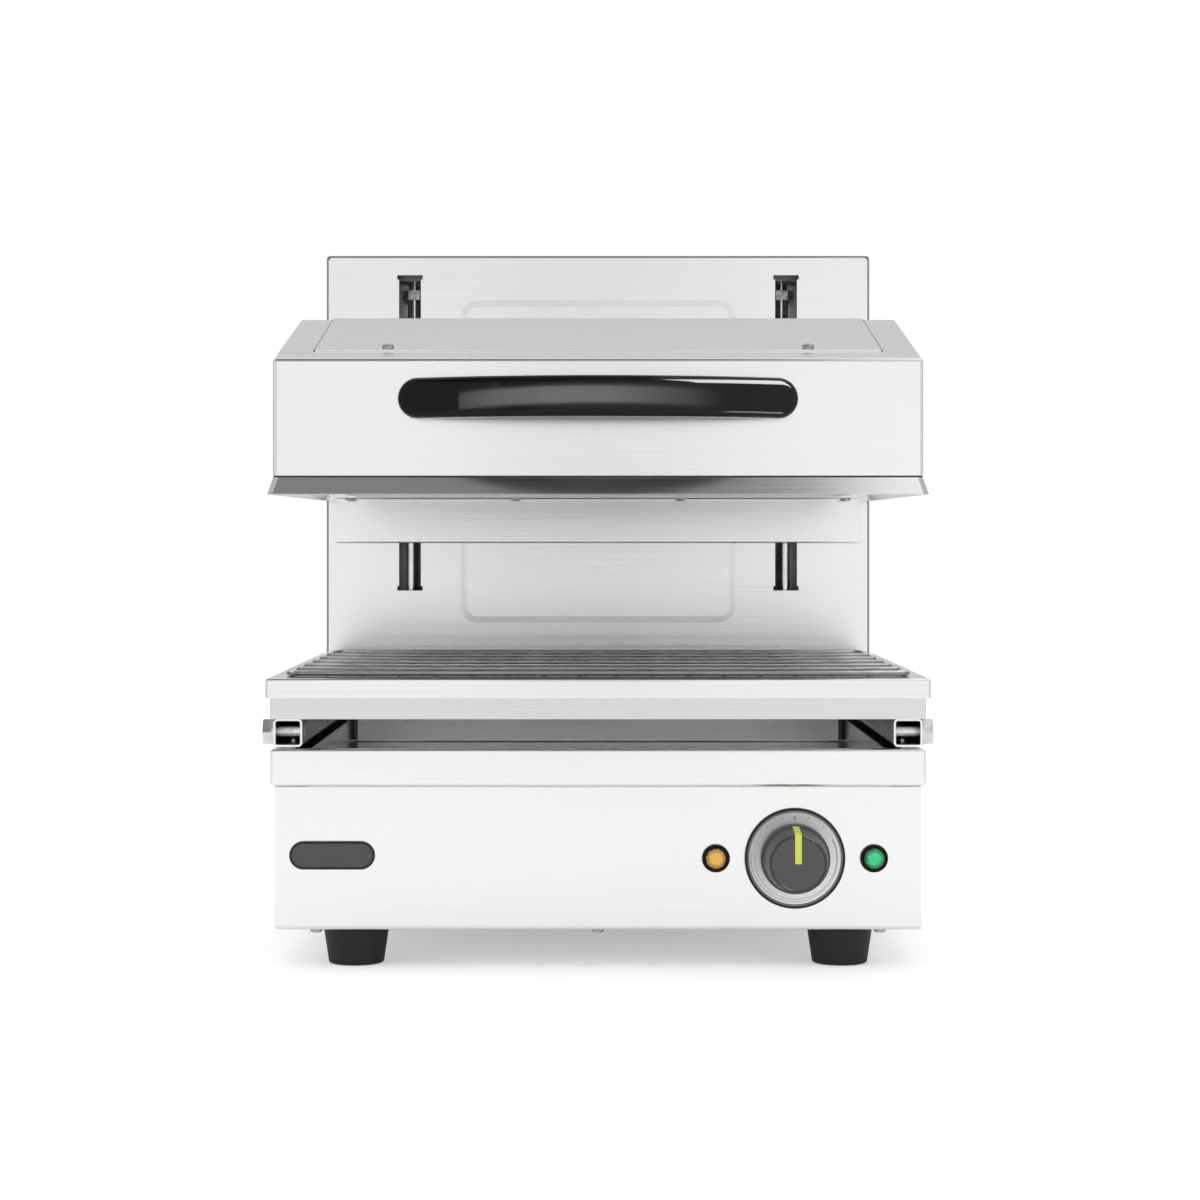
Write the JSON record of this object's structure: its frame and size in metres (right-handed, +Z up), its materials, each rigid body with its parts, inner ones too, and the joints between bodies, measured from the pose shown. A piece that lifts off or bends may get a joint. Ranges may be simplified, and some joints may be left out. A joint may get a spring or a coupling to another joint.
{
  "type": "salamander_grill",
  "caption": "Countertop electric salamander grill in brushed steel: a hood with a bow handle lifts on a slotted rear column over a wire grid, drip tray and dial.",
  "frame": {"origin": "on the floor under the middle of the whole outline, which runs from the bow handle to the end of the cable gland", "axes": "X to the right of someone at the controls, Y to the back, Z up; the controls and the handle face -Y"},
  "size_m": [0.467, 0.52, 0.535],
  "materials": {
    "stainless": "satin",
    "plated_sheet": "satin",
    "wire_chrome": "polished",
    "ground_rod": "polished",
    "zinc_fastener": "satin",
    "bronze_bush": "satin",
    "element_sheath": "matte",
    "insulation": "matte",
    "gas_spring_black": "gloss",
    "black_gloss": "gloss",
    "knob_grey": "matte",
    "pointer_lime": "satin",
    "dial_silver": "satin",
    "lens_amber": "gloss",
    "lens_green": "gloss",
    "foot_black": "matte",
    "dark_plastic": "matte",
    "pale_plastic": "matte"
  },
  "bodies": {
    "base": {"amber_lamp_lens": "lens_amber", "base_left_side": "stainless", "base_rear_panel": "stainless", "base_right_side": "stainless", "base_screws": "zinc_fastener", "bottom_plate": "plated_sheet", "cable_gland": "dark_plastic", "column_front_panel": "stainless", "column_rear_cover": "stainless", "column_shell": "stainless", "control_panel": "stainless", "deck_subframe": "stainless", "deck_top": "stainless", "dial_bezel": "black_gloss", "dial_plate": "dial_silver", "energy_regulator": "dark_plastic", "foot_front_left": "foot_black", "foot_front_right": "foot_black", "foot_rear_left": "foot_black", "foot_rear_right": "foot_black", "gas_cylinder_feet": "zinc_fastener", "green_lamp_lens": "lens_green", "lamp_housings": "black_gloss", "left_gas_cylinder": "gas_spring_black", "left_guide_rod": "ground_rod", "left_rail": "stainless", "lower_crossbar": "plated_sheet", "rail_bolts": "zinc_fastener", "rail_screws": "zinc_fastener", "right_gas_cylinder": "gas_spring_black", "right_guide_rod": "ground_rod", "right_rail": "stainless", "rod_nuts": "zinc_fastener", "terminal_block": "pale_plastic", "tray_shelf": "plated_sheet", "upper_crossbar": "plated_sheet"},
    "hood": {"hood_shell": "stainless", "hood_top_plate": "stainless", "hood_skirt": "stainless", "rear_shield": "stainless", "handle": "black_gloss", "hood_screws": "zinc_fastener", "reflector": "stainless", "insulation_board": "insulation", "heating_element_left": "element_sheath", "heating_element_centre": "element_sheath", "heating_element_right": "element_sheath", "element_supports": "plated_sheet", "left_arm": "plated_sheet", "right_arm": "plated_sheet", "bearing_bushes": "bronze_bush", "left_gas_piston_rod": "ground_rod", "right_gas_piston_rod": "ground_rod"},
    "tray": {"drip_tray": "stainless"},
    "knob": {"control_knob": "knob_grey", "knob_pointer": "pointer_lime", "regulator_spindle": "ground_rod"},
    "grid": {"grill_grid": "wire_chrome"}
  },
  "joints": [
    {"name": "hood_lift", "type": "slide", "parent": "base", "child": "hood", "axis": [0, 0, 1], "range_m": [-0.08, 0.075]},
    {"name": "tray_slide", "type": "slide", "parent": "base", "child": "tray", "axis": [0, -1, 0], "range_m": [0, 0.3]},
    {"name": "knob_turn", "type": "hinge", "parent": "base", "child": "knob", "pos_m": [0.137, -0.197, 0.079], "axis": [0, 1, 0], "range_deg": [0, 300]},
    {"name": "grid_lift", "type": "slide", "parent": "base", "child": "grid", "axis": [0, 0, 1], "range_m": [0, 0.03]}
  ]
}
